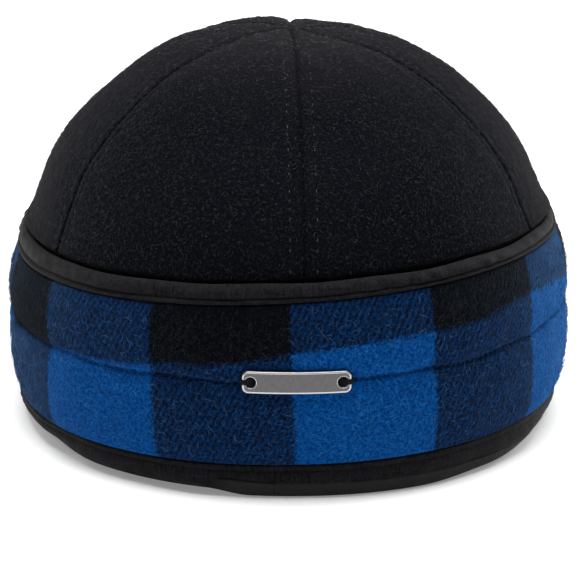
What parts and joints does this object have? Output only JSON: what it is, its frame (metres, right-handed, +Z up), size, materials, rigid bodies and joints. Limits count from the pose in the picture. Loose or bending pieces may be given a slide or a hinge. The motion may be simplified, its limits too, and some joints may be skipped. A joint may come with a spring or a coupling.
{
  "type": "railroad engineer cap",
  "caption": "Soft wool cap with a panelled round crown, a turned-up check earband bound at both edges, a small blank metal plate at the back and a short peak in front.",
  "frame": {"origin": "on the surface that the cap stands on, under the middle of its box", "axes": "+Z up; +Y towards the peak; the plate at the cap's back faces -Y"},
  "size_m": [0.198, 0.2838, 0.1359],
  "materials": {
    "melton_wool": "matte napped wool",
    "check_wool": "brushed twill wool in blue and black checks",
    "satin": "soft satin",
    "plate_metal": "brushed face, polished edge"
  },
  "bodies": {
    "root": {"crown_panel_back_left": "melton_wool", "crown_panel_back_right": "melton_wool", "crown_panel_side_left": "melton_wool", "crown_panel_side_right": "melton_wool", "crown_panel_front_left": "melton_wool", "crown_panel_front_right": "melton_wool", "peak": "melton_wool", "earband": "check_wool", "earband_binding": "satin", "hem_binding": "satin", "plate": "plate_metal"}
  },
  "joints": []
}
